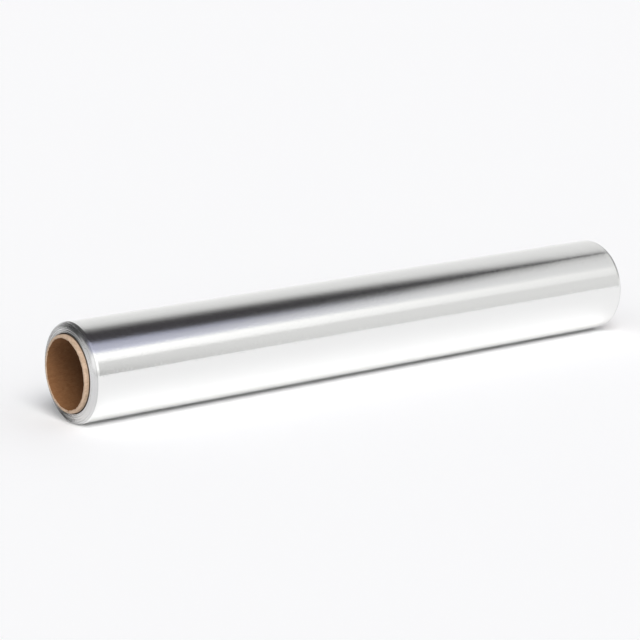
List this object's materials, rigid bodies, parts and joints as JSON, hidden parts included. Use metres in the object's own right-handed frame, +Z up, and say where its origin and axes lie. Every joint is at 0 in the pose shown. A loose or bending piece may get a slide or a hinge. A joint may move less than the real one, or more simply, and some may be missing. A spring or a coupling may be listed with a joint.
{
  "type": "aluminium foil roll",
  "caption": "Kitchen aluminium foil roll: bright foil wound tight on an open card core tube that stands slightly proud at both ends.",
  "frame": {"origin": "on the surface that the roll lies on, under the middle of its axis", "axes": "+X along the roll's axis, away from the end that the picture shows; +Y to the back, where the foil's free edge is; +Z up"},
  "size_m": [0.3044, 0.0441, 0.044],
  "materials": {
    "core_card": "matt brown card",
    "foil": "bright rolled foil"
  },
  "bodies": {
    "root": {"core_tube": "core_card", "wound_foil": "foil"}
  },
  "joints": []
}
